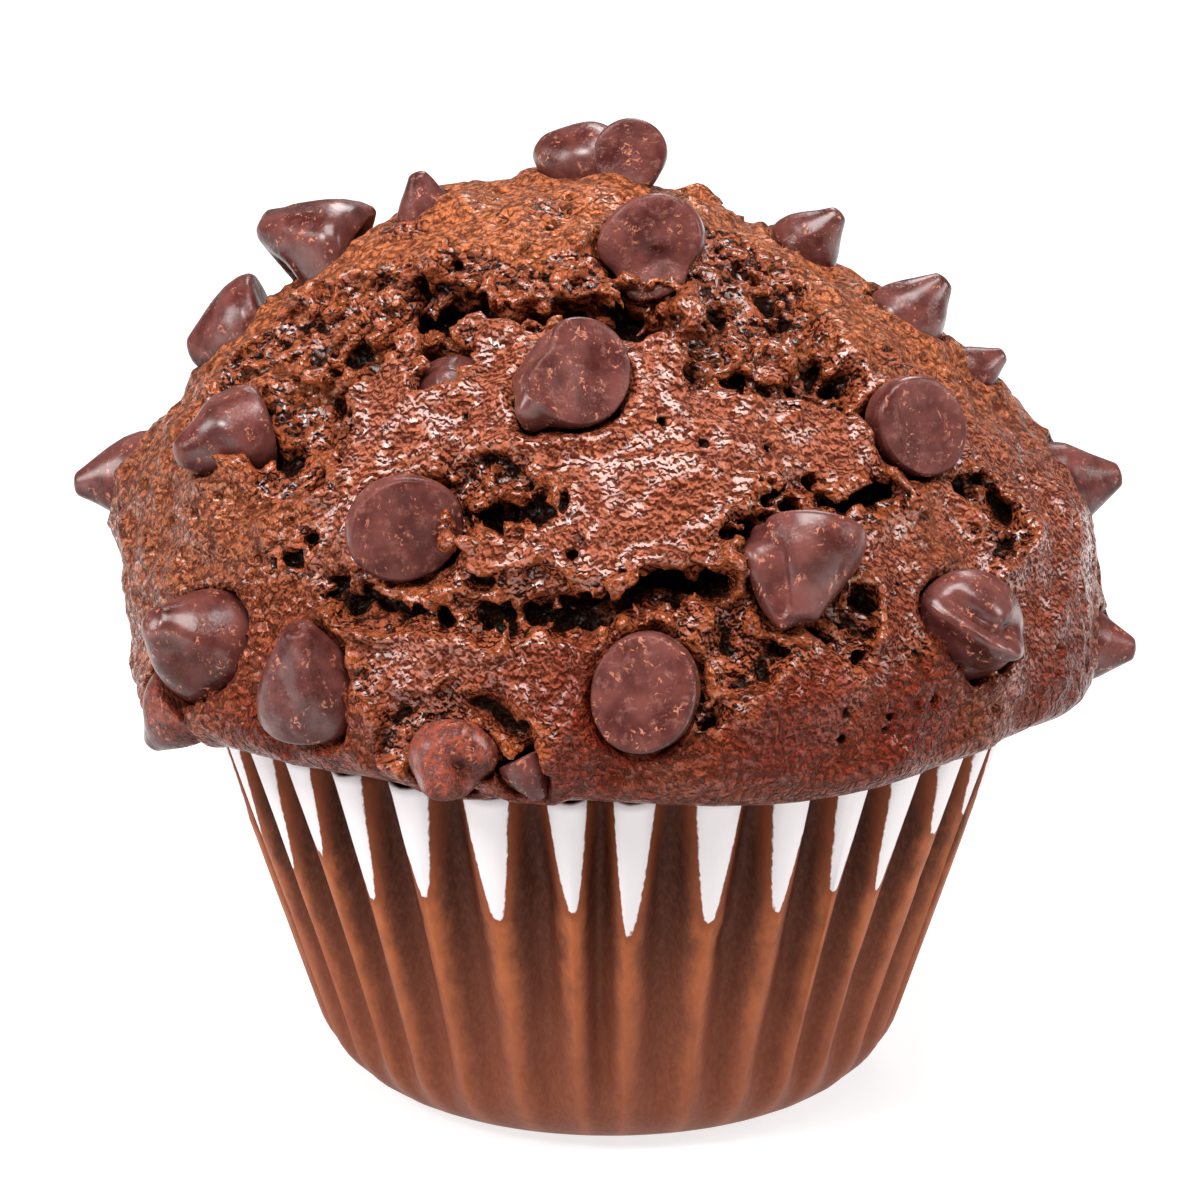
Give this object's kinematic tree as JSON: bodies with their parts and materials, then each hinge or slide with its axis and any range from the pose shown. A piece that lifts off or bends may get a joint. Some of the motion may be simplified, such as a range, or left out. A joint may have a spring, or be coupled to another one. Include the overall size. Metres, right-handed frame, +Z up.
{
  "type": "muffin",
  "caption": "Double chocolate chip muffin with a torn, domed top risen over a fluted paper case.",
  "frame": {"origin": "centre of the flat underside of the paper case", "axes": "+Z up through the crown, -Y is the side in the picture, -Z is the underside that it rests on"},
  "size_m": [0.0908, 0.0906, 0.0837],
  "materials": {
    "cake": null,
    "chocolate": null,
    "paper": "grease-soaked brown baking paper, dry and white at the tips of the pleats"
  },
  "bodies": {
    "root": {"cake": "cake", "chip_01": "chocolate", "chip_02": "chocolate", "chip_03": "chocolate", "chip_04": "chocolate", "chip_05": "chocolate", "chip_06": "chocolate", "chip_07": "chocolate", "chip_08": "chocolate", "chip_09": "chocolate", "chip_10": "chocolate", "chip_11": "chocolate", "chip_12": "chocolate", "chip_13": "chocolate", "chip_14": "chocolate", "chip_15": "chocolate", "chip_16": "chocolate", "chip_17": "chocolate", "chip_18": "chocolate", "chip_19": "chocolate", "chip_20": "chocolate", "chip_21": "chocolate", "chip_22": "chocolate", "chip_23": "chocolate", "chip_24": "chocolate", "chip_25": "chocolate", "chip_26": "chocolate", "chip_27": "chocolate", "chip_28": "chocolate", "chip_29": "chocolate", "chip_30": "chocolate", "chip_31": "chocolate", "chip_32": "chocolate", "chip_33": "chocolate", "chip_34": "chocolate", "chip_35": "chocolate", "chip_36": "chocolate", "chip_37": "chocolate", "chip_38": "chocolate", "chip_39": "chocolate", "paper_case": "paper"}
  },
  "joints": []
}
